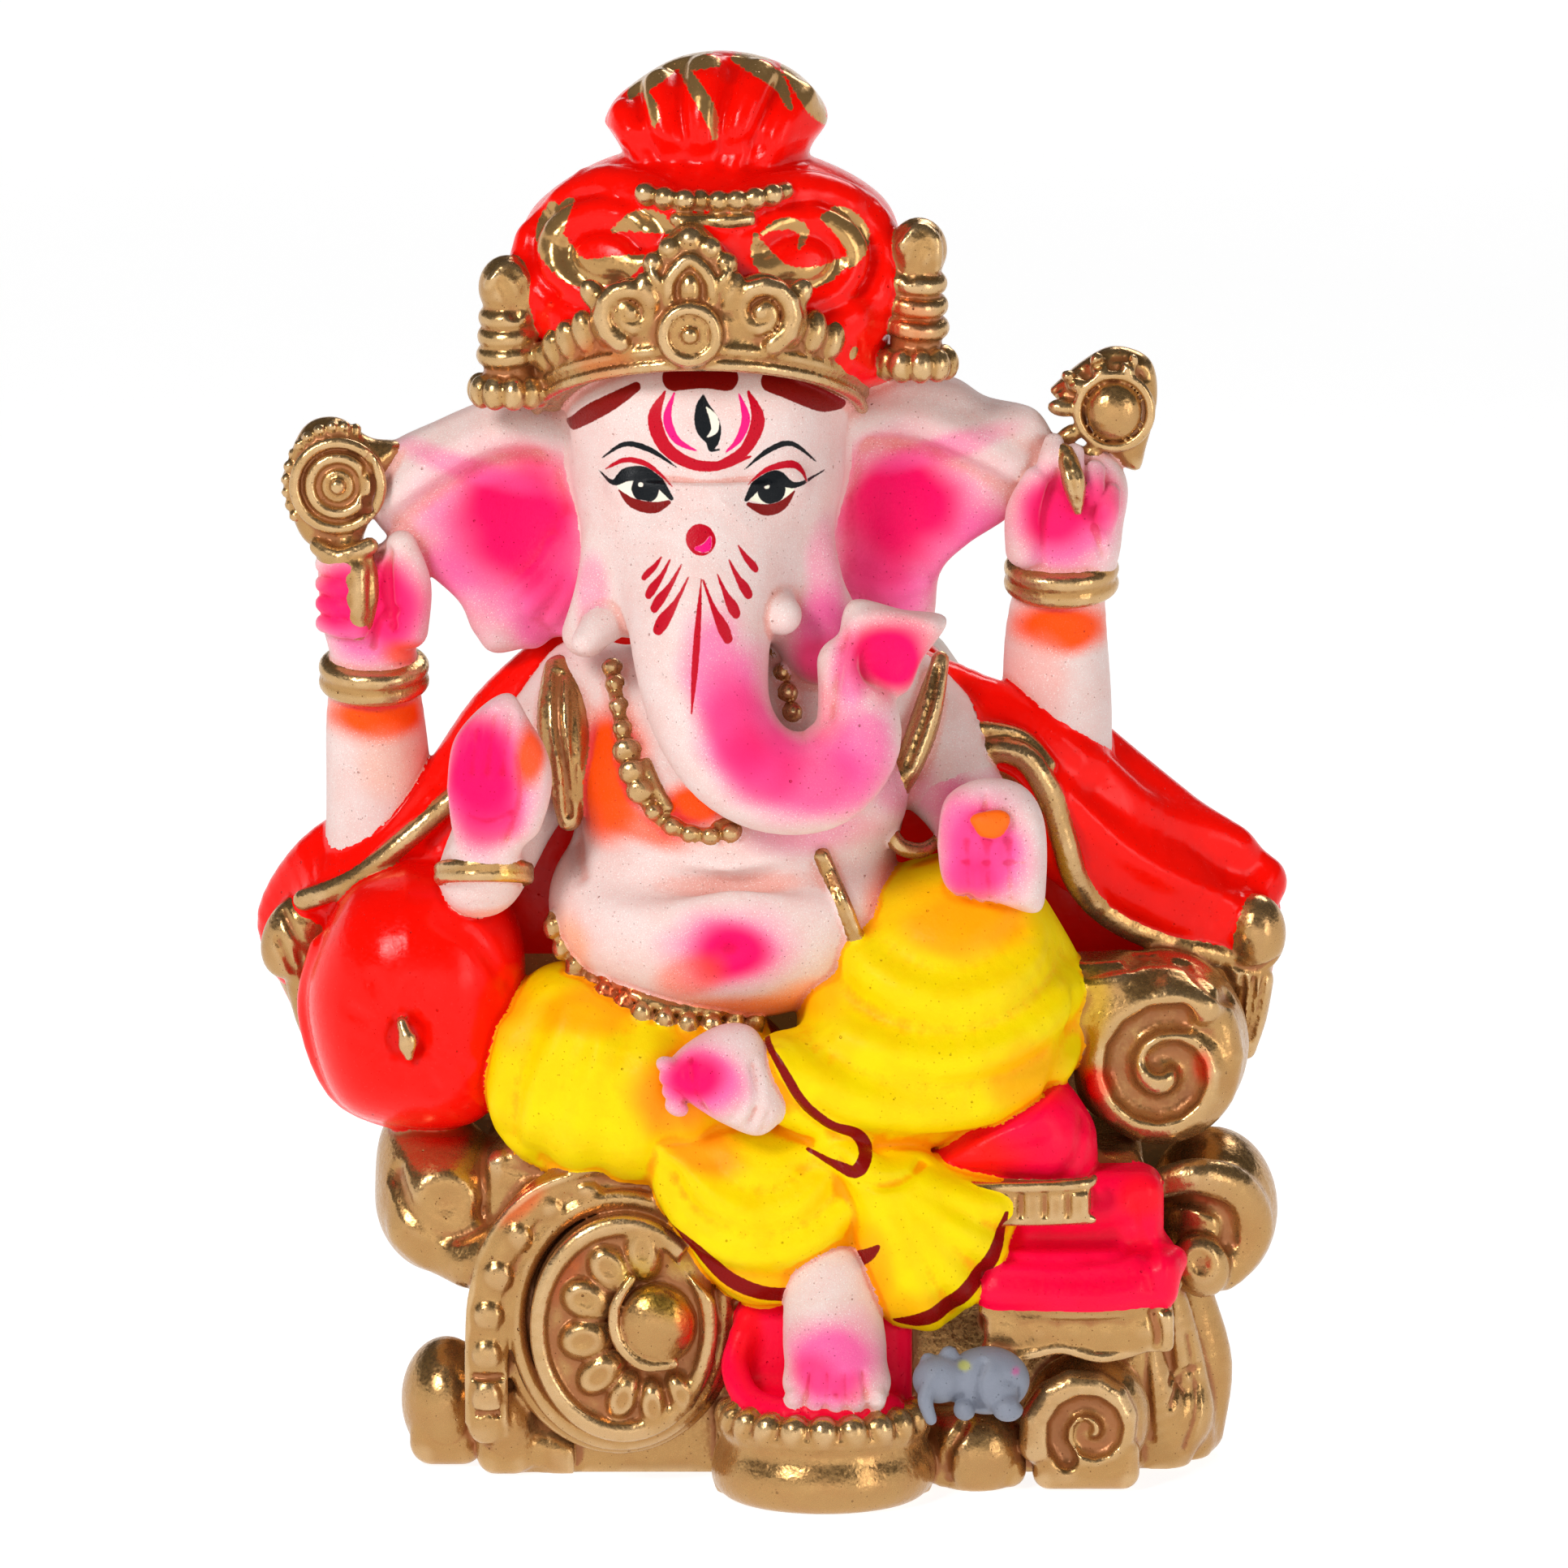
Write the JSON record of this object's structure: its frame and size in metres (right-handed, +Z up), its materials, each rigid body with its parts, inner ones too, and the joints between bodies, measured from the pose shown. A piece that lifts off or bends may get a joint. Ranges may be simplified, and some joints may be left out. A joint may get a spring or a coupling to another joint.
{
  "type": "elephant-headed deity idol",
  "caption": "Painted plaster elephant-headed deity with turban and crown, seated on a scrolled gold throne with a footstool and a small mouse.",
  "frame": {"origin": "centre of the footprint, on the surface that the idol stands on", "axes": "+Z up, -Y out of the idol's face, +X towards the viewer's right when facing the idol"},
  "size_m": [0.1815, 0.098, 0.2521],
  "materials": {
    "flesh_paint": "matt off-white paint with pink airbrushing",
    "gold_paint": "satin metallic gold paint",
    "red_paint": "gloss red paint",
    "yellow_paint": "matt fluorescent yellow paint",
    "pink_paint": "fluorescent pink-red paint",
    "orange_paint": "matt orange paint",
    "grey_paint": "satin grey paint"
  },
  "bodies": {
    "root": {"throne_core": "gold_paint", "throne_back": "red_paint", "back_roll_left": "red_paint", "back_roll_right": "red_paint", "back_piping": "gold_paint", "corner_tassels": "gold_paint", "foot_pedestal": "gold_paint", "pedestal_beads": "gold_paint", "footstool_pad": "pink_paint", "medallion_drum": "gold_paint", "medallion_rings": "gold_paint", "medallion_flower": "gold_paint", "stud_band_left": "gold_paint", "arm_scroll_left": "gold_paint", "foot_lobes_left": "gold_paint", "base_volute_right": "gold_paint", "rock_lobe_front": "gold_paint", "corner_leaves_right": "gold_paint", "rear_scroll_right": "gold_paint", "arm_volute_right": "gold_paint", "seat_cushion": "pink_paint", "seat_apron": "gold_paint", "knee_cushion": "red_paint", "knee_cushion_fringe": "gold_paint", "bolster_cushion": "red_paint", "bolster_button": "gold_paint", "torso": "flesh_paint", "thigh_wrap_left": "yellow_paint", "shin_wrap_left": "yellow_paint", "knee_wrap_right": "yellow_paint", "dhoti_pleats": "yellow_paint", "lap_foot": "flesh_paint", "standing_foot": "flesh_paint", "waist_belt": "gold_paint", "necklace": "gold_paint", "sacred_thread": "gold_paint", "shoulder_sashes": "gold_paint", "blessing_arm": "flesh_paint", "resting_arm": "flesh_paint", "modak_sweet": "orange_paint", "raised_arm_left": "flesh_paint", "raised_arm_right": "flesh_paint", "bangles": "gold_paint", "axe": "gold_paint", "lotus": "gold_paint", "head": "flesh_paint", "trunk": "flesh_paint", "tusks": "flesh_paint", "ear_left": "flesh_paint", "ear_right": "flesh_paint", "turban": "red_paint", "turban_plume": "red_paint", "plume_band": "gold_paint", "crown_band": "gold_paint", "crown_crest": "gold_paint", "crown_scrolls": "gold_paint", "side_tassel_left": "gold_paint", "side_tassel_right": "gold_paint", "mouse": "grey_paint"}
  },
  "joints": []
}
